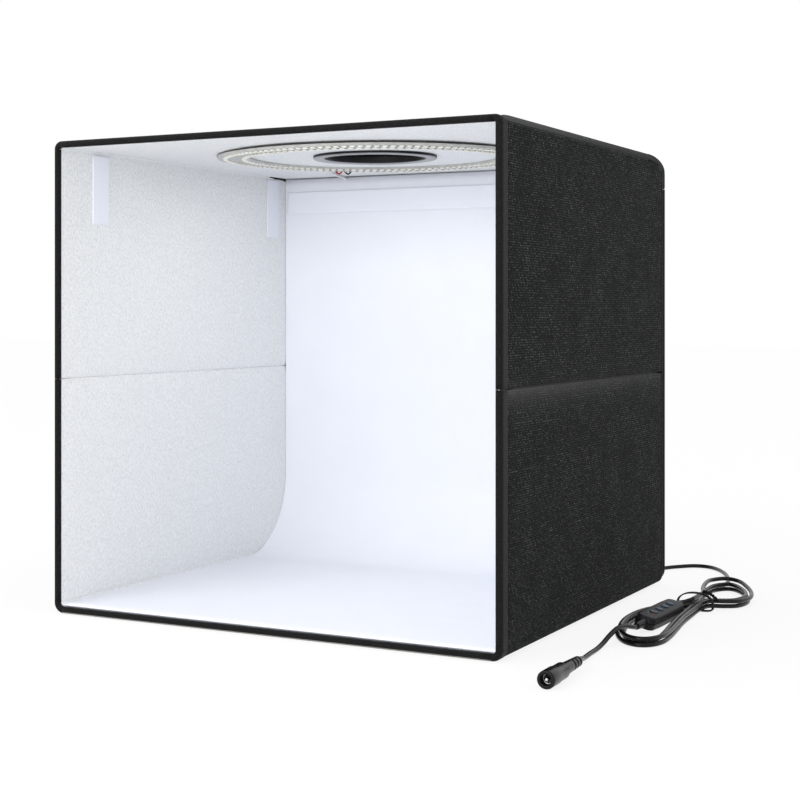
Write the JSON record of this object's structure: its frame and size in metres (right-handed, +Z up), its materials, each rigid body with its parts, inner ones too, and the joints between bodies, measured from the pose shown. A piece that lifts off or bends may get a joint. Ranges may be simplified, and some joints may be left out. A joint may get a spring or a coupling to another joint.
{
  "type": "light tent cube",
  "caption": "Folding photo light tent: padded black cube, open front, white lining and curved backdrop, ring of lamps under the ceiling, corded dimmer and socket.",
  "frame": {"origin": "on the floor under the middle of the tent, midway between its side walls and between its front and back faces", "axes": "+Z up, the open front faces -Y, +X to the right as seen from the front"},
  "size_m": [0.3817, 0.4284, 0.3007],
  "materials": {
    "black_cloth": "woven matte black polyester",
    "black_tape": "ribbed black binding tape",
    "white_lining": "pebbled silver-white reflective cloth",
    "grey_board": "plain stiffener board",
    "white_sheet": "smooth matte white sheet",
    "white_hook_tape": "white hook tape",
    "ring_white": "white lacquered circuit board",
    "led_yellow": "pale yellow lamp chips",
    "rim_grey": "grey moulded rim with a black edge",
    "black_rubber": "soft satin black jacket",
    "dark_plastic": "charcoal moulded case",
    "button_grey": "grey-blue keypad button",
    "bright_metal": "nickel plated pin"
  },
  "bodies": {
    "base": {"base_cover": "black_cloth", "base_board": "grey_board", "base_lining": "white_lining", "base_binding": "black_tape", "corner_lower_left": "black_cloth", "corner_lower_right": "black_cloth", "cord_gland": "black_rubber", "cord_run": "black_rubber", "cord_hank": "black_rubber", "plug_cord": "black_rubber", "twist_tie": "black_rubber", "dimmer_case_bottom": "dark_plastic", "dimmer_case_top": "dark_plastic", "dimmer_boot_in": "black_rubber", "dimmer_boot_out": "black_rubber", "jack_body": "black_rubber", "jack_pin": "bright_metal"},
    "left_lower": {"left_lower_cover": "black_cloth", "left_lower_board": "grey_board", "left_lower_lining": "white_lining", "left_lower_binding": "black_tape"},
    "left_upper": {"left_upper_cover": "black_cloth", "left_upper_board": "grey_board", "left_upper_lining": "white_lining", "left_upper_binding": "black_tape", "hook_strip_left_front": "white_hook_tape", "hook_strip_left_rear": "white_hook_tape"},
    "right_lower": {"right_lower_cover": "black_cloth", "right_lower_board": "grey_board", "right_lower_lining": "white_lining", "right_lower_binding": "black_tape"},
    "right_upper": {"right_upper_cover": "black_cloth", "right_upper_board": "grey_board", "right_upper_lining": "white_lining", "right_upper_binding": "black_tape", "hook_strip_right_front": "white_hook_tape", "hook_strip_right_rear": "white_hook_tape"},
    "top": {"top_cover": "black_cloth", "top_board": "grey_board", "top_lining": "white_lining", "top_binding": "black_tape", "corner_upper_left": "black_cloth", "corner_upper_right": "black_cloth", "ring_board": "ring_white", "led_track_outer": "led_yellow", "led_track_inner": "led_yellow", "window_rim": "rim_grey", "ring_lead": "black_rubber", "spine_cloth": "black_cloth"},
    "window_flap": {"window_flap": "black_cloth"},
    "back": {"back_hem": "black_cloth", "back_cover": "black_cloth", "back_board": "grey_board", "back_lining": "white_lining"},
    "backdrop": {"backdrop_sheet": "white_sheet", "backdrop_hook_strip": "white_hook_tape"},
    "button_power": {"button_power": "button_grey"},
    "button_colour": {"button_colour": "button_grey"},
    "button_brighter": {"button_brighter": "button_grey"},
    "button_dimmer": {"button_dimmer": "button_grey"}
  },
  "joints": [
    {"name": "fold", "type": "hinge", "parent": "base", "child": "left_lower", "pos_m": [-0.1488, 0, 0.0055], "axis": [0, 1, 0], "range_deg": [0, 90], "deforming": ["corner_lower_left", "corner_lower_right", "corner_upper_left", "corner_upper_right", "spine_cloth", "backdrop_sheet", "backdrop_hook_strip", "ring_lead"]},
    {"name": "left_crease", "type": "hinge", "parent": "left_lower", "child": "left_upper", "pos_m": [-0.15315, 0, 0.1489], "axis": [0, 1, 0], "range_deg": [-180, 0]},
    {"name": "ceiling_hinge", "type": "hinge", "parent": "left_upper", "child": "top", "pos_m": [-0.1488, 0, 0.2923], "axis": [0, 1, 0], "range_deg": [0, 90]},
    {"name": "right_wall_hinge", "type": "hinge", "parent": "base", "child": "right_lower", "pos_m": [0.1488, 0, 0.0055], "axis": [0, 1, 0], "range_deg": [-90, 0]},
    {"name": "right_crease", "type": "hinge", "parent": "right_lower", "child": "right_upper", "pos_m": [0.15315, 0, 0.1489], "axis": [0, 1, 0], "range_deg": [0, 180]},
    {"name": "back_lift", "type": "hinge", "parent": "top", "child": "back", "pos_m": [0, 0.148, 0.2965], "axis": [1, 0, 0], "range_deg": [0, 90]},
    {"name": "flap_lift", "type": "hinge", "parent": "top", "child": "window_flap", "pos_m": [0, 0.05, 0.2998], "axis": [-1, 0, 0], "range_deg": [0, 100]},
    {"name": "backdrop_slide", "type": "slide", "parent": "base", "child": "backdrop", "axis": [0, -1, 0], "range_m": [0, 0.31]},
    {"name": "press_power", "type": "slide", "parent": "base", "child": "button_power", "axis": [-0.2418, 0.0057, -0.9703], "range_m": [0, 0.0005], "stiffness_N_per_m": 200, "springref_m": -0.0003},
    {"name": "press_colour", "type": "slide", "parent": "base", "child": "button_colour", "axis": [-0.2418, 0.0057, -0.9703], "range_m": [0, 0.0005], "stiffness_N_per_m": 200, "springref_m": -0.0003},
    {"name": "press_brighter", "type": "slide", "parent": "base", "child": "button_brighter", "axis": [-0.2418, 0.0057, -0.9703], "range_m": [0, 0.0005], "stiffness_N_per_m": 200, "springref_m": -0.0003},
    {"name": "press_dimmer", "type": "slide", "parent": "base", "child": "button_dimmer", "axis": [-0.2418, 0.0057, -0.9703], "range_m": [0, 0.0005], "stiffness_N_per_m": 200, "springref_m": -0.0003}
  ],
  "couplings": [
    {"joint": "left_crease", "follows": "fold", "ratio": -2},
    {"joint": "ceiling_hinge", "follows": "fold", "ratio": 1},
    {"joint": "right_wall_hinge", "follows": "fold", "ratio": -1},
    {"joint": "right_crease", "follows": "fold", "ratio": 2},
    {"joint": "back_lift", "follows": "fold", "ratio": 1}
  ]
}
